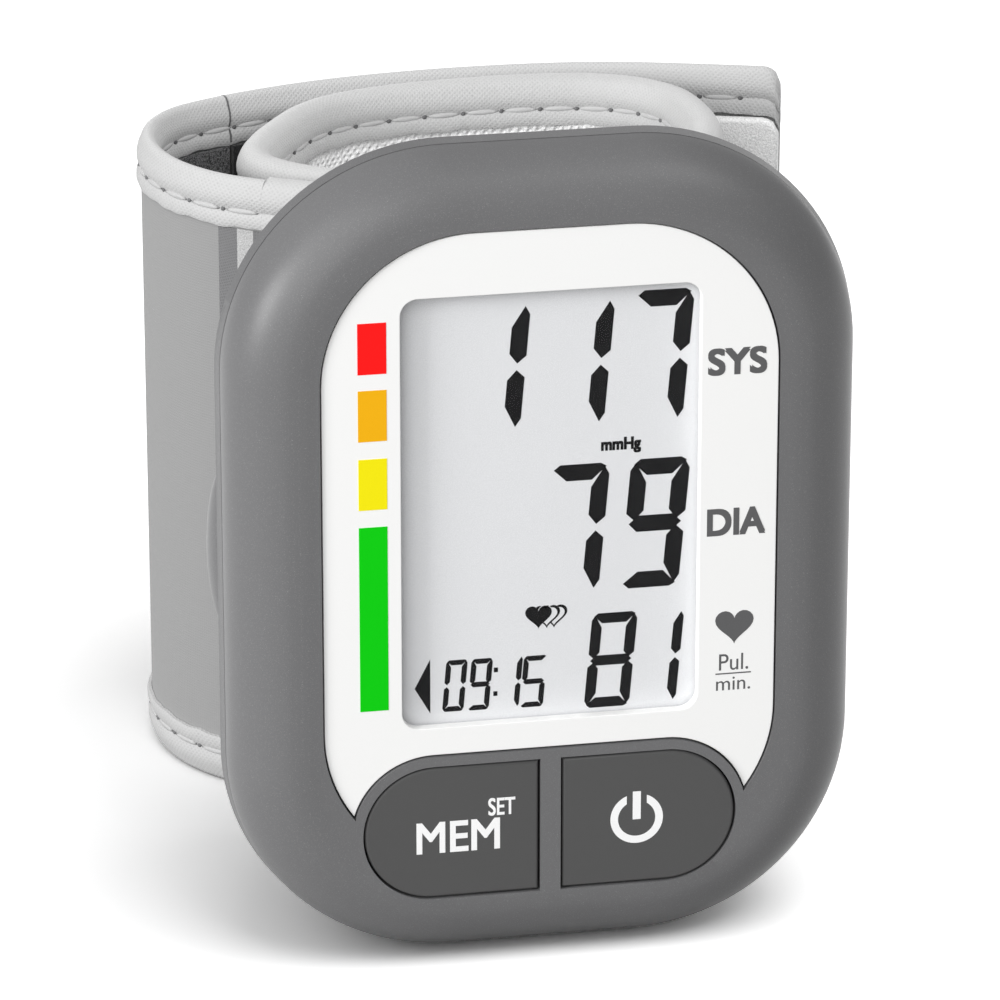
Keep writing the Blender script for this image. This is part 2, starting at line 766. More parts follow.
def face_box(left, low, right, high):
    """A box on the face, in metres and from the ground."""
    middle = bpy.context.scene.wm_face.middle
    return left * MM, middle + low * MM, right * MM, middle + high * MM


def face_plate(name, box, front, thick):
    """A thin plate that fills a box before the given depth."""
    left, low, right, high = face_box(*box)
    return block(name, (left, front - thick, low), (right, front, high))


def flat_shape(name, outline, depth, thick=INK):
    """A thin closed plate from a front-view outline of x and z, standing before the given depth."""
    only(None)
    bpy.ops.mesh.primitive_circle_add(vertices=len(outline), radius=1, fill_type="NGON")
    obj = named(name)
    for vertex, (x, z) in zip(obj.data.vertices, outline):
        vertex.co = (x, depth, z)
    pick_all(obj)
    bpy.ops.mesh.extrude_region_move(TRANSFORM_OT_translate={"value": (0, -thick, 0)})
    bpy.ops.mesh.select_all(action="SELECT")
    bpy.ops.mesh.normals_make_consistent(inside=False)
    done()
    return obj


def letters(name, text, box, depth, thick):
    """Plain letters that fill a box of left, low, right and high in front of the given depth."""
    only(None)
    bpy.ops.object.text_add(rotation=(QUARTER_TURN, 0, 0))
    obj = bpy.context.object
    obj.data.body = text
    obj.data.extrude = 0.5
    obj.data.resolution_u = 6
    bpy.ops.object.convert(target="MESH")
    obj = named(name)
    apply_place()
    low = Vector([min(v.co[i] for v in obj.data.vertices) for i in range(3)])
    high = Vector([max(v.co[i] for v in obj.data.vertices) for i in range(3)])
    left, bottom, right, top = box
    target_low, target_high = Vector((left, depth - thick, bottom)), Vector((right, depth, top))
    for vertex in obj.data.vertices:
        part = [(vertex.co[i] - low[i]) / (high[i] - low[i]) for i in range(3)]
        vertex.co = [target_low[i] + part[i] * (target_high[i] - target_low[i]) for i in range(3)]
    return obj


def lettering(name, text, box, depth, heavy=0.0):
    """Letters with strokes made wider by the heavy amount: copies side by side, each a little prouder."""
    left, low, right, high = face_box(*box)
    heavy *= MM
    shifts = [(0, 0)]
    if heavy:
        shifts += [(heavy / 2, 0), (heavy, 0), (0, heavy), (heavy, heavy)]
    copies = []
    for i, (x, z) in enumerate(shifts):
        place = (left + x, low + z, right - heavy + x, high - heavy + z)
        copies.append(letters(name, text, place, depth, LETTER_INK + i * LETTER_STEP))
    return join(name, *copies)


def heart(width, steps=36):
    """Outline of a heart with its middle at zero: the usual curve, 32 units wide, raised by 2.5 units."""
    unit, raised = width / 32, 2.5
    points = []
    for i in range(steps):
        t = 2 * math.pi * i / steps
        x = 16 * math.sin(t) ** 3
        z = 13 * math.cos(t) - 5 * math.cos(2 * t) - 2 * math.cos(3 * t) - math.cos(4 * t)
        points.append((x * unit, (z + raised) * unit))
    return points


def placed(outline, x, z):
    """An outline moved to a place on the face."""
    middle = bpy.context.scene.wm_face.middle
    return [(x * MM + a, z * MM + middle + b) for a, b in outline]


class MONITOR_OT_face_panel(bpy.types.Operator):
    """Model the white panel with its window, the clear lens, the colour scale and the labels"""
    bl_idname = "wristmonitor.face_panel"
    bl_label = "Face panel"

    EDGE = 0.12 * MM
    SHARP = math.radians(40)
    LENS_GAP = 0.12 * MM
    LENS_FRONT = 0.2 * MM
    LENS_BACK = 1 * MM
    BAR_INK = 0.03 * MM
    BARS = (
        ("red", (-19.55, 15.47, -16.65, 20.83)),
        ("orange", (-19.55, 8.40, -16.65, 13.78)),
        ("yellow", (-19.55, 1.12, -16.65, 6.53)),
        ("green", (-19.55, -20.60, -16.65, -0.72)),
    )
    WORDS = (
        ("label_upper", "SYS", (15.92, 12.95, 21.99, 15.85), 0.24),
        ("label_lower", "DIA", (16.02, -4.25, 22.05, -1.3), 0.24),
        ("label_pulse", "Pul.", (17.46, -19.0, 20.5, -17.2), 0.0),
        ("label_minute", "min.", (17.18, -21.2, 20.74, -19.75), 0.0),
    )
    HEART_WIDTH = 4 * MM
    HEART_PLACE = (19, -14.3)
    RULE = (17.1, -19.42, 20.8, -19.28)

    def execute(self, context):
        size, tones = context.scene.wm_face, context.scene.wm_colours
        front = -context.scene.wm_housing.face
        panel = panel_form("white_panel", 0, front, front + size.panel_thick)
        cut(panel, self.window("window", 0, front - CUT_MARGIN, front + CUT_MARGIN))
        change(panel, "BEVEL", width=self.EDGE, segments=2, limit_method="ANGLE", angle_limit=self.SHARP)
        smooth(panel)
        white = plastic(
            "panel_white", tones.panel, roughness=0.5, grain=0.5, contrast=0.006, relief=0.001, gloss=0.2)
        finish_piece(panel, white, "monitor", "panel", "face_panel")
        lens = self.window("clear_lens", self.LENS_GAP, front + self.LENS_FRONT, front + self.LENS_BACK)
        finish_piece(smooth(lens), clear_lens("lens_clear"), "monitor", "lens", "display_lens")
        for name, box in self.BARS:
            bar = face_plate("scale_" + name, box, front, self.BAR_INK)
            finish_piece(bar, ink("ink_" + name, getattr(tones, name), contrast=0.01), "monitor", "panel")
        self.labels(front, ink("ink_grey", tones.print, contrast=0.03))
        return {"FINISHED"}

    @staticmethod
    def window(name, shrink, front, back):
        size = bpy.context.scene.wm_face
        half, tall = size.window_width / 2 - shrink, size.window_height / 2 - shrink
        low, high = size.middle - tall, size.middle + tall
        return slab(name, -half, half, front, back, low, high, size.window_corner, segments=12)

    def labels(self, front, grey):
        for name, text, box, heavy in self.WORDS:
            finish_piece(lettering(name, text, box, front, heavy), grey, "monitor", "panel")
        mark = flat_shape("label_heart", placed(heart(self.HEART_WIDTH), *self.HEART_PLACE), front)
        finish_piece(mark, grey, "monitor", "panel")
        finish_piece(face_plate("label_rule", self.RULE, front, INK), grey, "monitor", "panel")


SEGMENTS = {"0": "abcdef", "1": "bc", "5": "acdfg", "7": "abc", "8": "abcdefg", "9": "abcdfg"}


def segment_outline(which, width, height, thick, gap):
    """Outline of one segment of a seven-segment figure whose lower left corner is zero."""
    middle, half = height / 2, thick / 2
    if which == "g":
        return [
            (gap, middle), (gap + half, middle + half), (width - gap - half, middle + half),
            (width - gap, middle), (width - gap - half, middle - half), (gap + half, middle - half)]
    if which in "ad":
        points = [
            (gap, height - 0.3 * thick), (gap + 0.35 * thick, height), (width - gap - 0.35 * thick, height),
            (width - gap, height - 0.2 * thick), (width - gap - 0.8 * thick, height - thick),
            (gap + 0.8 * thick, height - thick)]
        return points if which == "a" else [(x, height - z) for x, z in points]
    points = [
        (width - 0.3 * thick, height - gap), (width, height - gap - half),
        (width, middle + gap + 0.45 * thick), (width - half, middle + gap),
        (width - thick, middle + gap + 0.6 * thick), (width - thick, height - gap - 1.25 * thick)]
    if which in "ce":
        points = [(x, height - z) for x, z in points]
    if which in "ef":
        points = [(width - x, z) for x, z in points]
    return points


class MONITOR_OT_display(bpy.types.Operator):
    """Draw the figures and small marks that the display shows"""
    bl_idname = "wristmonitor.display"
    bl_label = "Display figures"

    DEPTH = 1.6 * MM
    SLANT = 0.085
    GAP = 0.2
    # Row, figure, x, z, width, height and thickness of the strokes
    FIGURES = (
        ("upper", "1", -9.0, 8.0, 6.1, 13.4, 1.75), ("upper", "1", -0.45, 8.0, 6.1, 13.4, 1.75),
        ("upper", "7", 7.6, 7.9, 6.1, 14.0, 1.75),
        ("lower", "7", -0.9, -9.9, 6.1, 13.8, 1.75), ("lower", "9", 7.35, -9.9, 6.1, 13.9, 1.75),
        ("pulse", "8", 3.75, -22.7, 4.7, 10.3, 1.1), ("pulse", "1", 8.6, -22.6, 4.7, 10.0, 1.0),
        ("clock", "0", -10.9, -21.95, 2.2, 5.6, 0.55), ("clock", "9", -8.3, -22.0, 2.2, 5.6, 0.55),
        ("clock", "1", -5.2, -22.0, 2.2, 5.6, 0.55), ("clock", "5", -2.9, -22.1, 2.4, 5.6, 0.55),
    )
    DOTS = ((-5.55, -18.0, -5.13, -17.5), (-5.6, -20.6, -5.18, -20.1))
    ARROW = ((-13.7, -19.2), (-12.1, -16.1), (-12.1, -22.0))
    BEAT_X, BEAT_Z = -0.95, -12.35
    BEAT_STEPS = (0.85, 1.6)
    BEAT_WIDTH = 2.75 * MM
    BEAT_HOLE = 2.2 * MM
    BEAT_FRONT = 2.95 * MM
    BEAT_FRONT_STEP = 0.9
    UNIT = (5.4, 4.75, 9.5, 6.5)
    UNIT_HEAVY = 0.14

    def execute(self, context):
        self.depth = self.DEPTH - context.scene.wm_housing.face
        self.middle = context.scene.wm_face.middle
        tone = context.scene.wm_colours.digit
        self.ink = ink("lcd_ink", tone, contrast=0.05, roughness=0.7, gloss=0)
        groups = {}
        for row, figure, *place in self.FIGURES:
            groups.setdefault(row, []).extend(self.figure(figure, *place))
        groups["clock"] += [face_plate("dot", box, self.depth, INK) for box in self.DOTS]
        for row, pieces in groups.items():
            finish_piece(join("figures_" + row, *pieces), self.ink, "monitor", "lcd")
        self.marks()
        return {"FINISHED"}

    def figure(self, figure, x, z, width, height, thick):
        for which in SEGMENTS[figure]:
            points = segment_outline(which, width, height, thick, self.GAP * thick)
            outline = [((x + a + self.SLANT * b) * MM, self.middle + (z + b) * MM) for a, b in points]
            yield flat_shape("segment", outline, self.depth)

    def marks(self):
        tip = [(x * MM, self.middle + z * MM) for x, z in self.ARROW]
        finish_piece(flat_shape("mark_arrow", tip, self.depth), self.ink, "monitor", "lcd")
        hearts = [self.beat("beat", self.BEAT_WIDTH, self.BEAT_X)]
        for step in self.BEAT_STEPS:
            x = self.BEAT_X + step
            ring = self.beat("beat", self.BEAT_WIDTH, x)
            hole = self.beat("hole", self.BEAT_HOLE, x, CUT_MARGIN)
            front = self.beat("front", self.BEAT_FRONT, x - self.BEAT_FRONT_STEP, CUT_MARGIN)
            hearts.append(cut(ring, hole, front))
        finish_piece(join("mark_beats", *hearts), self.ink, "monitor", "lcd")
        unit = lettering("mark_unit", "mmHg", self.UNIT, self.depth, self.UNIT_HEAVY)
        finish_piece(unit, self.ink, "monitor", "lcd")

    def beat(self, name, width, x, margin=0):
        """One heart of the beat mark, or a tool of its outline that reaches past it by the margin."""
        outline = placed(heart(width), x, self.BEAT_Z)
        return flat_shape(name, outline, self.depth + margin, INK + 2 * margin)


class MONITOR_OT_keys(bpy.types.Operator):
    """Model the two keys with their white marks"""
    bl_idname = "wristmonitor.keys"
    bl_label = "Keys"

    RISE = 0.15 * MM
    EDGE = 0.3 * MM
    FLANGE = 0.85 * MM
    FLANGE_GROW = 0.8 * MM
    WORDS = (
        ("key_memory_mark", "MEM", (-13.9, -36.75, -5.25, -33.3), 0.16),
        ("label_set", "SET", (-6.46, -33.05, -3.66, -31.1), 0.08),
    )
    POWER_X = 9.0 * MM
    POWER_DROP = 34.6 * MM
    POWER_OUTER = 2.75 * MM
    POWER_INNER = 1.95 * MM
    POWER_GAP = 1.05 * MM
    POWER_GAP_TOP = 4 * MM
    POWER_BAR = 0.42 * MM
    POWER_BAR_LOW = -0.1 * MM
    POWER_BAR_TOP = 3 * MM

    def execute(self, context):
        self.size, tones = context.scene.wm_face, context.scene.wm_colours
        self.front = -context.scene.wm_housing.face - self.RISE
        matt = plastic(
            "key_grey", tones.key, roughness=0.55, grain=0.14, contrast=0.05, relief=0.012, gloss=0.25)
        white = ink("key_print", tones.key_print, contrast=0.02, roughness=0.5, gloss=0.5)
        for side, name in ((-1, "memory_key"), (1, "power_key")):
            finish_piece(self.key(name + "_cap", side), matt, name, "key", name)
        for name, text, box, heavy in self.WORDS:
            finish_piece(lettering(name, text, box, self.front, heavy), white, "memory_key", "key")
        finish_piece(self.power_mark(), white, "power_key", "key")
        return {"FINISHED"}

    def key(self, name, side):
        gap, house = self.size.key_gap, bpy.context.scene.wm_housing
        behind = house.front_wall - house.proud + gap - house.face
        cap = key_half(name, side, -gap, self.front, behind + self.FLANGE)
        rim = self.front
        bevel(cap, lambda edge: all(abs(v.co.y - rim) < SAME for v in edge.verts), self.EDGE, segments=4)
        flange = key_half("flange", side, self.FLANGE_GROW, behind, behind + self.FLANGE)
        combine(cap, "UNION", flange)
        return smooth(cap)

    def power_mark(self):
        x, z = self.POWER_X, self.size.middle - self.POWER_DROP
        front, near, far = self.front - INK, self.front - CUT_MARGIN, self.front + CUT_MARGIN
        ring = rod_y("key_power_mark", x, z, self.POWER_OUTER, front, self.front, sides=64)
        hole = rod_y("hole", x, z, self.POWER_INNER, near, far, sides=64)
        gap = block("gap", (x - self.POWER_GAP, near, z), (x + self.POWER_GAP, far, z + self.POWER_GAP_TOP))
        bar = block(
            "bar", (x - self.POWER_BAR, front, z + self.POWER_BAR_LOW),
            (x + self.POWER_BAR, self.front, z + self.POWER_BAR_TOP))
        return join("key_power_mark", cut(ring, hole, gap), bar)


# Cuff: every layer is a strip wound along one route

SEAM_GAP = 0.02 * MM
TAPE_SEAM_GAP = 0.004 * MM
END_NARROWING = 0.95  # share of the corner radius by which the tail's end narrows

# Side of a folded tape in millimetres: outward from the layers, then from the lip's edge or the crease.
LIP_SIDE = ((0.05, 0), (0.38, -0.08), (0.52, -0.4))
CREASE_SIDE = (
    (0.5, 0.8), (0.32, 0.32), (0.1, 0), (0.26, -0.35), (0.42, -0.8), (0.44, -1.4), (0.3, -2.0),
)
CROWN = 0.85 * MM
CROWN_OUT = 0.02 * MM
CROWN_STEPS = 8
CROWN_PINCH = 0.1


class Route:
    """A smooth line through the route's points, measured by length."""

    SAMPLES = 30
    REACH = 0.4 * MM

    def __init__(self, face):
        self.points, self.lengths = [], [0.0]
        stops = [Vector((x * MM, face + behind * MM)) for x, behind in LOOP_ROUTE + TAIL_ROUTE]
        stops = [2 * stops[0] - stops[1], *stops, 2 * stops[-1] - stops[-2]]
        for i in range(1, len(stops) - 2):
            for step in range(self.SAMPLES):
                self.points.append(self.span(stops[i - 1:i + 3], step / self.SAMPLES))
        self.points.append(stops[-2])
        for a, b in zip(self.points, self.points[1:]):
            self.lengths.append(self.lengths[-1] + (b - a).length)
        self.end = self.lengths[-1]
        self.seam = self.lengths[len(LOOP_ROUTE) * self.SAMPLES]

    @staticmethod
    def span(stops, t):
        p0, p1, p2, p3 = stops
        d0, d1, d2 = (math.sqrt((b - a).length) for a, b in zip(stops, stops[1:]))
        start = ((p1 - p0) / d0 - (p2 - p0) / (d0 + d1) + (p2 - p1) / d1) * d1
        end = ((p2 - p1) / d1 - (p3 - p1) / (d1 + d2) + (p3 - p2) / d2) * d1
        a = 2 * p1 - 2 * p2 + start + end
        b = -3 * p1 + 3 * p2 - 2 * start - end
        return ((a * t + b) * t + start) * t + p1

    def place(self, at):
        at = min(max(at, 0), self.end)
        low, high = 0, len(self.points) - 2
        while low < high:
            middle = (low + high + 1) // 2
            if self.lengths[middle] <= at:
                low = middle
            else:
                high = middle - 1
        part = (at - self.lengths[low]) / (self.lengths[low + 1] - self.lengths[low])
        return self.points[low].lerp(self.points[low + 1], part)

    def along(self, at):
        return self.place(at + self.REACH) - self.place(at - self.REACH)

    def point(self, at, inward, height):
        """A place at a length along the route, a distance inwards from the outer face, and a height."""
        along, here = self.along(at).normalized(), self.place(at)
        return Vector((here.x + along.y * inward, here.y - along.x * inward, height))

    def turn(self, at):
        along = self.along(at)
        return math.atan2(along.y, along.x)


def wound(name, route, section, start, end, step=0.6 * MM, narrow=None):
    """A closed strip with one cross-section of inward distances and heights, wound along the route."""
    count, steps = len(section), max(2, round((end - start) / step))
    only(None)
    bpy.ops.mesh.primitive_grid_add(x_subdivisions=steps, y_subdivisions=count, size=2)
    obj = named(name)
    around = [0.0]
    for a, b in zip(section, [*section[1:], section[0]]):
        around.append(around[-1] + math.dist(a, b))
    for loop in obj.data.uv_layers.active.data:
        row = round(loop.uv.y * count)
        loop.uv = (start + loop.uv.x * (end - start), around[row])
    for vertex in obj.data.vertices:
        at = start + (vertex.co.x + 1) / 2 * (end - start)
        inward, height = section[round((vertex.co.y + 1) / 2 * count) % count]
        vertex.co = route.point(at, inward, narrow(at, height) if narrow else height)
    pick_all(obj)
    bpy.ops.mesh.select_mode(type="VERT")
    bpy.ops.mesh.select_all(action="SELECT")
    bpy.ops.mesh.remove_doubles(threshold=MERGE)
    bpy.ops.mesh.select_all(action="SELECT")
    bpy.ops.mesh.fill_holes(sides=0)
    bpy.ops.mesh.select_all(action="SELECT")
    bpy.ops.mesh.normals_make_consistent(inside=False)
    done()
    return smooth(obj, angle=50)


def layer(outer, thick, low, high, edge=0.12 * MM, rows=4):
    """Section of a flat band with softened edges."""
    inner = outer + thick
    edge = min(edge, thick / 3)
    heights = [low + edge + (high - low - 2 * edge) * i / rows for i in range(rows + 1)]
    return [(outer, z) for z in heights] + [(outer + edge, high), (inner - edge, high)] + [
        (inner, z) for z in reversed(heights)] + [(inner - edge, low), (outer + edge, low)]


def binding_section(size, thick, up):
    """Section of a tape folded over one edge: a narrow crown, a stitched crease and a flat lip."""
    edge = size.height if up > 0 else 0
    close = LIP_SIDE[0][0] * MM
    side = [(out * MM, size.binding_height + step * MM) for out, step in LIP_SIDE]
    side += [(out * MM, size.crease + step * MM) for out, step in CREASE_SIDE]
    side.append((CROWN_OUT, CROWN))
    crown = []
    for turn in (math.pi * i / CROWN_STEPS for i in range(1, CROWN_STEPS)):
        across = thick / 2 * math.cos(turn) * (1 - CROWN_PINCH * math.sin(turn))
        crown.append((thick / 2 - across, CROWN * (1 - math.sin(turn))))
    core = [(thick + close, size.hem), (-close, size.hem)]
    outline = [(-o, d) for o, d in side] + crown + [(thick + o, d) for o, d in reversed(side)] + core
    return [(o, edge - up * d) for o, d in outline]


def covered_span(size):
    """Low and high edge of a layer whose edges lie in the bindings."""
    return size.hem + size.gap, size.height - size.hem - size.gap


def open_span(size):
    """Low and high edge of a layer that lies between the bindings."""
    return size.binding_height + size.gap, size.height - size.binding_height - size.gap


def cuff(context):
    """Sizes, colours and route of the cuff."""
    return context.scene.wm_cuff, context.scene.wm_colours, Route(context.scene.wm_cuff.face)


def soft(obj, material, body, slot, *nodes):
    """Finishes a piece of cloth or film."""
    finish_piece(obj, material, body, slot, *nodes)
    return obj


def tail_narrowing(size, route):
    """Rounds the corners at the tail's end."""
    def narrow(at, height):
        past = max(0, at - (route.end - size.end_round)) / size.end_round
        drop = size.end_round * (1 - math.sqrt(max(0, 1 - past * past)))
        half = size.height / 2
        return half + (height - half) * (half - END_NARROWING * drop) / half
    return narrow


def ripple(size, shape=None):
    """Lets the lip of a binding run a little unevenly, as sewn tape does."""
    swing, slow, fast, share = 0.09 * MM, 0.9 / MM, 2.1 / MM, 0.6

    def wavy(at, height):
        edge = 0 if height < size.height / 2 else size.height
        past = min(1, max(0, abs(height - edge) - size.crease) / MM)
        wave = math.sin(at * slow) + share * math.sin(at * fast + 1)
        height += swing * past * wave
        return shape(at, height) if shape else height
    return wavy


class MONITOR_OT_cuff_layers(bpy.types.Operator):
    """Wind the layers of the loop: cover, springy sheet, bladder, lining and loop patch"""
    bl_idname = "wristmonitor.cuff_layers"
    bl_label = "Cuff layers"

    FORMER_MARGIN = 6 * MM
    BLADDER_MARGIN = 8 * MM

    def execute(self, context):
        size, tones, route = cuff(context)
        last = route.seam - SEAM_GAP
        former = size.cover + size.gap
        bladder = former + size.former + size.gap
        lining = bladder + size.bladder + size.gap
        cloth = fuzzy("loop_cloth", tones.cover, grain=0.35, dark=0.78, light=1.1, relief=0.12)
        knit = ribbed("ribbed_knit", tones.lining, size.rib, relief=0.25)
        sheet = plastic("former_sheet", shade(225, 225, 220), roughness=0.5, grain=0.4, contrast=0.03)
        film = plastic("bladder_film", shade(140, 144, 147), roughness=0.6, grain=0.5, contrast=0.04)
        covered = covered_span(size)
        pieces = (
            ("outer_cloth", 0, size.cover, 0, cloth, "cloth", "cuff_cover"),
            ("springy_sheet", former, size.former, self.FORMER_MARGIN, sheet, "former", "cuff_former"),
            ("flat_bladder", bladder, size.bladder, self.BLADDER_MARGIN, film, "bladder", "air_bladder"),
            ("inner_lining", lining, size.lining, 0, knit, "lining", "cuff_lining"),
        )
        for name, outer, thick, margin, paint, slot, node in pieces:
            span = (margin, size.height - margin) if margin else covered
            strip = wound(name, route, layer(outer, thick, *span), margin, last - margin)
            soft(strip, paint, "monitor", slot, node)
        section = layer(-size.gap - size.fastener, size.fastener, *open_span(size))
        pile = wound("loop_pile", route, section, *self.patch(size, route))
        soft(pile, cloth, "monitor", "cloth", "loop_patch")
        return {"FINISHED"}

    @staticmethod
    def patch(size, route):
        """Both ends of the loop patch, whose middle is the route's farthest point."""
        back = max(range(len(LOOP_ROUTE) * route.SAMPLES), key=lambda i: route.points[i].y)
        middle = route.lengths[back]
        return middle - size.loop / 2, middle + size.loop / 2


class MONITOR_OT_bindings(bpy.types.Operator):
    """Roll the bindings over the edges of loop and tail and stitch them"""
    bl_idname = "wristmonitor.bindings"
    bl_label = "Bindings"

    STEP = 0.5 * MM
    STITCH_SHARE = 0.43  # half length of a stitch as a share of the pitch
    STITCH_WIDTH = 0.24 * MM
    STITCH_HEIGHT = 0.34 * MM
    HOLE = (0.3 * MM, 0.24 * MM, 0.26 * MM)
    PROUD = 0.14 * MM
    JOIN_WIDTH = 0.22 * MM
    JOIN_PROUD = 0.04 * MM
    JOIN_STRETCH = 1.0005

    def execute(self, context):
        size, tones, route = cuff(context)
        thick = size.cover + size.former + size.bladder + size.lining + 3 * size.gap
        tape = woven(
            "binding_tape", tones.binding, size.weave, relief=0.06, turn=math.radians(40), contrast=0.09)
        thread = plastic(
            "thread", tones.binding, roughness=0.8, grain=0.2, contrast=0.12, relief=0.02, gloss=0.2)
        dark = plastic(
            "stitch_hole", tones.elastic, roughness=0.9, grain=0.2, contrast=0.2, relief=0.02, gloss=0.1)
        stitch = (self.STITCH_SHARE * size.pitch, self.STITCH_WIDTH, self.STITCH_HEIGHT)
        narrow = tail_narrowing(size, route)
        bands = (
            ("cuff", "monitor", thick, 0, route.seam - TAPE_SEAM_GAP, None),
            ("tail", "cuff_tail", size.tail, route.seam + TAPE_SEAM_GAP, route.end, narrow),
        )
        for band, body, layers, start, end, shape in bands:
            for side, up in (("top", 1), ("bottom", -1)):
                name = f"{band}_binding_{side}"
                section = binding_section(size, layers, up)
                strip = wound(name + "_tape", route, section, start, end, self.STEP, ripple(size, shape))
                soft(strip, tape, body, "binding", name)
            places = list(self.places(layers, start, end, size, shape))
            self.stitches(f"{band}_stitching", route, places, stitch, thread, body)
            ends = [(at + size.pitch / 2, inward, height) for at, inward, height in places]
            self.stitches(f"{band}_stitch_holes", route, ends, self.HOLE, dark, body)
        self.tape_join(size, route, tones)
        return {"FINISHED"}

    def tape_join(self, size, route, tones):
        """The line where the tape of the tail's bindings is sewn together."""
        at, middle = route.seam + size.join, size.height / 2
        dark = woven("join_thread", tones.elastic, size.weave, relief=0.05)
        for side, up in (("top", 1), ("bottom", -1)):
            section = []
            for out, height in binding_section(size, size.tail, up):
                proud = self.JOIN_PROUD if out > size.tail / 2 else -self.JOIN_PROUD
                section.append((out + proud, middle + (height - middle) * self.JOIN_STRETCH))
            line = wound(
                "tape_join_" + side, route, section, at, at + self.JOIN_WIDTH, self.JOIN_WIDTH / 2)
            soft(line, dark, "cuff_tail", "binding")

    def places(self, layers, start, end, size, shape):
        """Length, inward distance and height of every stitch in the four rows."""
        for row in range(4):
            inward = -self.PROUD if row % 2 else layers + self.PROUD
            height = size.crease if row < 2 else size.height - size.crease
            for i in range(int((end - start) / size.pitch - 0.5)):
                at = start + (i + 0.5) * size.pitch
                yield at, inward, shape(at, height) if shape else height

    @staticmethod
    def stitches(name, route, places, scale, material, body):
        only(None)
        for count, (at, inward, height) in enumerate(places):
            bpy.ops.mesh.primitive_uv_sphere_add(
                segments=8, ring_count=5, radius=1, location=route.point(at, inward, height),
                rotation=(0, 0, route.turn(at)), scale=scale)
            if count == 0:
                obj = named(name)
                apply_place()
                bpy.ops.object.mode_set(mode="EDIT")
        done()
        bpy.ops.object.shade_smooth()
        soft(obj, material, body, "binding")


class MONITOR_OT_tail(bpy.types.Operator):
    """Wind the tail: band, hook pad, folded end and the elastic across its seam"""
    bl_idname = "wristmonitor.tail"
    bl_label = "Tail"

    PAD_START = 0.3 * MM
    PAD_END = 0.2 * MM
    FOLD_THICK = 1.7 * MM
    FOLD_EDGE = 0.5 * MM
    ROOT_START = 0.2 * MM
    ROOT_OUT = -0.1 * MM
    ROOT_THICK = 0.09 * MM
    ROOT_EDGE = 0.03 * MM
    PILE_START = 9 * MM
    PILE_THICK = 0.3 * MM
    ELASTIC_REACH = 1.1 * MM
    ELASTIC_OUT = -0.14 * MM
    ELASTIC_THICK = 0.12 * MM
    ELASTIC_EDGE = 0.04 * MM
    FINE_STEP = 0.2 * MM
    FINE_WEAVE = 0.3 * MM
    ELASTIC_WEAVE = 0.35 * MM

    def execute(self, context):
        size, tones, route = cuff(context)
        span = open_span(size)
        inner = size.tail + size.gap
        fold, join_at = route.end - size.tab, route.seam + size.join
        narrow = tail_narrowing(size, route)
        plain = woven("tail_cloth", tones.tail, self.FINE_WEAVE, relief=0.03, contrast=0.06)
        hooks = fuzzy("hook_pile", tones.hook, grain=0.5, dark=0.5, light=1.6, relief=0.2)
        pile = fuzzy("tail_pile", tones.lining, grain=0.6, dark=0.78, light=1.03, relief=0.15)
        band = layer(0, size.tail, *covered_span(size))
        pad = layer(inner, size.fastener, *span)
        folded = layer(inner, self.FOLD_THICK, *span, edge=self.FOLD_EDGE)
        pieces = (
            ("tail_cloth_band", band, route.seam + SEAM_GAP, route.end, plain, "cloth", "tail_band"),
            ("hook_pile_pad", pad, join_at + self.PAD_START, fold - self.PAD_END, hooks, "hook",
             "hook_pad"),
            ("folded_end", folded, fold, route.end, pile, "cloth", "pull_tab"),
        )
        for name, section, start, end, paint, slot, node in pieces:
            soft(wound(name, route, section, start, end, narrow=narrow), paint, "cuff_tail", slot, node)
        self.root(size, tones, route, span)
        speckled = fuzzy("inner_pile", tones.elastic, grain=0.5, dark=0.12, light=2.2, relief=0.25)
        section = layer(inner, self.PILE_THICK, *span)
        inner_pile = wound("tail_inner_pile", route, section, route.seam + self.PILE_START, join_at)
        soft(inner_pile, speckled, "cuff_tail", "cloth")
        self.elastic(tones, route, span)
        return {"FINISHED"}

    def root(self, size, tones, route, span):
        """Pile and dark strip on the outer side, next to the seam."""
        pile = fuzzy("root_pile", tones.cover, grain=0.35, dark=0.62, light=1.1, relief=0.12)
        tape = woven(
            "strip_tape", tones.elastic, self.FINE_WEAVE, relief=0.05, turn=math.radians(20), contrast=0.2)
        section = layer(self.ROOT_OUT, self.ROOT_THICK, *span, edge=self.ROOT_EDGE)
        for name, start, end, paint in (
                ("tail_root_pile", self.ROOT_START, size.strip_start, pile),
                ("tail_edge_strip", size.strip_start, size.strip_end, tape)):
            patch = wound(name, route, section, route.seam + start, route.seam + end, self.FINE_STEP)
            soft(patch, paint, "cuff_tail", "cloth")

    def elastic(self, tones, route, span):
        """The elastic that bridges the seam and bends with it."""
        start, end = route.seam - self.ELASTIC_REACH, route.seam + self.ELASTIC_REACH
        section = layer(self.ELASTIC_OUT, self.ELASTIC_THICK, *span, edge=self.ELASTIC_EDGE)
        strip = wound("seam_elastic", route, section, start, end, self.FINE_STEP)
        tape = woven("elastic_tape", tones.elastic, self.ELASTIC_WEAVE, relief=0.06)
        soft(strip, tape, None, "binding")
        route.point(start, 0, 0)
        route.point(end, 0, 0)
        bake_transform(strip)


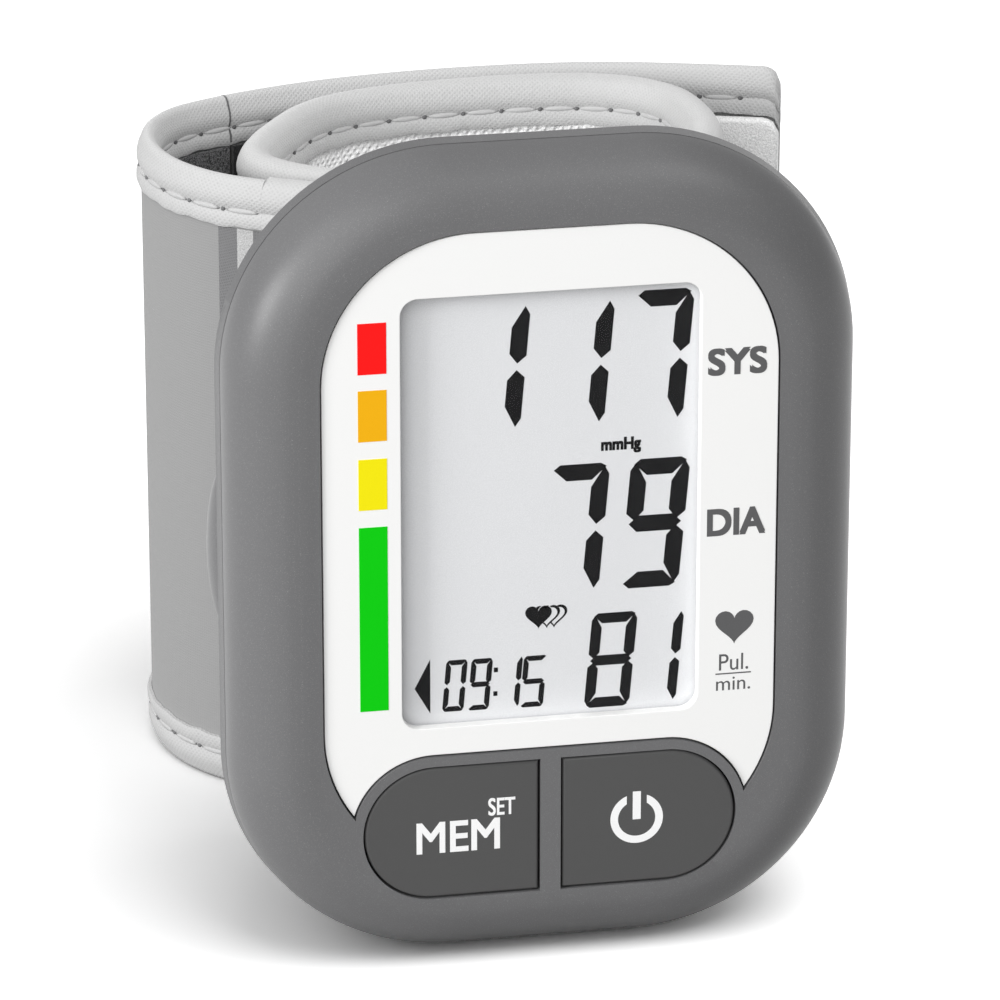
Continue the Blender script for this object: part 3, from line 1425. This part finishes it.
class MONITOR_OT_inner_parts(bpy.types.Operator):
    """Give the parts inside the housing and the carrier their finishes"""
    bl_idname = "wristmonitor.inner_parts"
    bl_label = "Inner parts"

    # Finish, colour, roughness, metal, and the nodes that have it
    FINISHES = (
        ("lcd", (225, 226, 228), 0.5, 0, ("lcd_glass",)),
        ("tray", (230, 230, 228), 0.5, 0, ("lcd_holder",)),
        ("rubber", (45, 45, 46), 0.8, 0, ("contact_strip_upper", "contact_strip_lower")),
        ("board", (47, 107, 69), 0.45, 0, ("main_board",)),
        ("black", (40, 40, 42), 0.5, 0, (
            "controller_chip", "memory_switch", "power_switch", "buzzer", "pressure_sensor", "pump_head",
            "exhaust_valve")),
        ("steel", (190, 192, 194), 0.35, 1, (
            "case_screw_1", "case_screw_2", "case_screw_3", "case_screw_4", "carrier_screw_1",
            "carrier_screw_2", "contact_link", "contact_minus", "contact_plus", "pump_motor")),
        ("cell", (59, 65, 71), 0.35, 0, ("battery_front", "battery_rear")),
        ("hose", (216, 216, 210), 0.5, 0, (
            "pump_hose", "valve_hose", "sensor_hose", "air_tee", "air_nipple")),
        ("carrier", (112, 112, 113), 0.5, 0, ("cuff_carrier",)),
    )

    def execute(self, context):
        for name, tone, roughness, metal, nodes in self.FINISHES:
            paint = plastic(
                "inner_" + name, shade(*tone), roughness, grain=0.4, relief=0.005, metallic=metal)
            for node in nodes:
                mesh = frame["nodes"][node].data
                mesh.materials.clear()
                mesh.materials.append(paint)
        return {"FINISHED"}


class MONITOR_OT_stage(bpy.types.Operator):
    """Add the pale floor, the soft light and the camera"""
    bl_idname = "wristmonitor.stage"
    bl_label = "Stage"

    FLOOR_SIZE = 4
    FLOOR_SEEN = 1.6
    FLOOR_BOUNCE = 0.2
    WORLD = 0.55
    LAMP_TARGET = Vector((0, 0.02, 0.045))
    # Lamp, place, size, power, and the endings of the names that it keeps to or keeps off
    LAMPS = (
        ("key_light", (-0.95, -1.0, 0.75), 1.5, 19.5, "EXCLUDE", ("floor",)),
        ("side_light", (-1.1, -0.38, 0.3), 0.4, 9, "EXCLUDE", ("floor",)),
        ("back_light", (0.8, 0.9, 0.7), 1.4, 9, "EXCLUDE", ("floor", "front_shell")),
        ("fill_light", (0.55, -0.45, 1.1), 0.6, 3, "INCLUDE", ("front_shell",)),
        ("rim_light", (0.6, -0.8, 0.8), 0.6, 6.5, "INCLUDE", ("_top_tape", "_stitching", "_end")),
        ("loop_light", (0.1, -0.4, 1.0), 0.5, 7, "INCLUDE", ("inner_lining",)),
        ("floor_light", (0.25, -0.35, 1.0), 0.8, 6, "INCLUDE", ("floor",)),
    )
    CAMERA = Vector((-0.11540, -0.58342, 0.27483))
    CAMERA_TARGET = Vector((-0.005217, -0.011, 0.051065))
    SENSOR_WIDTH = 36
    LENS = 224.92

    def execute(self, context):
        only(None)
        bpy.ops.mesh.primitive_plane_add(size=self.FLOOR_SIZE)
        floor = named("floor")
        floor.data.materials.append(self.floor_paint())
        for name, place, size, power, state, endings in self.LAMPS:
            pieces = [obj for obj in bpy.data.objects if obj.name.endswith(endings)]
            self.link(self.light(name, place, size, power), state, pieces)
        world = context.scene.world or bpy.data.worlds.new("studio")
        context.scene.world = world
        world.use_nodes = True
        background = world.node_tree.nodes["Background"]
        background.inputs["Color"].default_value = (1, 1, 1, 1)
        background.inputs["Strength"].default_value = self.WORLD
        self.camera(context)
        return {"FINISHED"}

    def floor_paint(self):
        """White to the eye, so that just the shadow near the object shows, and grey as a bounce card."""
        paint = Paint("floor_white")
        bounce, seen = (
            paint.add("ShaderNodeBsdfDiffuse", Color=(grey, grey, grey, 1))
            for grey in (self.FLOOR_BOUNCE, self.FLOOR_SEEN))
        path = paint.add("ShaderNodeLightPath").outputs
        direct = paint.math("MAXIMUM", path["Is Camera Ray"], paint.math(
            "MAXIMUM", path["Is Glossy Ray"], path["Is Transmission Ray"]))
        return paint.mix(direct, bounce, seen)

    def light(self, name, place, size, power):
        only(None)
        aim = self.LAMP_TARGET - Vector(place)
        bpy.ops.object.light_add(
            type="AREA", radius=size / 2, location=place, rotation=aim.to_track_quat("-Z", "Y").to_euler())
        lamp = bpy.context.object
        lamp.name = name
        lamp.data.size = size
        lamp.data.energy = power
        return lamp

    @staticmethod
    def link(lamp, state, objects):
        """Keeps a lamp's light to these objects, or off them."""
        group = bpy.data.collections.new("linked_to_" + lamp.name)
        lamp.light_linking.receiver_collection = group
        for obj in objects:
            group.objects.link(obj)
        for linked in group.collection_objects:
            linked.light_linking.link_state = state

    def camera(self, context):
        aim = self.CAMERA_TARGET - self.CAMERA
        only(None)
        bpy.ops.object.camera_add(location=self.CAMERA, rotation=aim.to_track_quat("-Z", "Y").to_euler())
        camera = bpy.context.object
        camera.data.sensor_width = self.SENSOR_WIDTH
        camera.data.lens = self.LENS
        context.scene.camera = camera
        context.scene.view_settings.view_transform = "Standard"


OPERATORS = (
    MONITOR_OT_front_housing, MONITOR_OT_rear_housing, MONITOR_OT_battery_door, MONITOR_OT_face_panel,
    MONITOR_OT_display, MONITOR_OT_keys, MONITOR_OT_cuff_layers, MONITOR_OT_bindings, MONITOR_OT_tail,
    MONITOR_OT_inner_parts, MONITOR_OT_stage,
)


class MONITOR_PT_panel(bpy.types.Panel):
    """Buttons and sizes of the monitor"""
    bl_idname = "MONITOR_PT_panel"
    bl_label = "Wrist monitor"
    bl_space_type = "VIEW_3D"
    bl_region_type = "UI"
    bl_category = "Monitor"

    def draw(self, context):
        for operator in OPERATORS:
            self.layout.operator(operator.bl_idname)
        for group, kind in GROUPS.items():
            box = self.layout.box()
            for name in kind.__annotations__:
                box.prop(getattr(context.scene, group), name)


def register():
    for group, kind in GROUPS.items():
        bpy.utils.register_class(kind)
        setattr(bpy.types.Scene, group, PointerProperty(type=kind))
    for kind in (*OPERATORS, MONITOR_PT_panel):
        bpy.utils.register_class(kind)


def unregister():
    for kind in reversed((*OPERATORS, MONITOR_PT_panel)):
        bpy.utils.unregister_class(kind)
    for group, kind in GROUPS.items():
        delattr(bpy.types.Scene, group)
        bpy.utils.unregister_class(kind)


def main():
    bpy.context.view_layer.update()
    register()
    for operator in OPERATORS:
        group, name = operator.bl_idname.split(".")
        getattr(getattr(bpy.ops, group), name)()


if __name__ == "__main__":
    main()
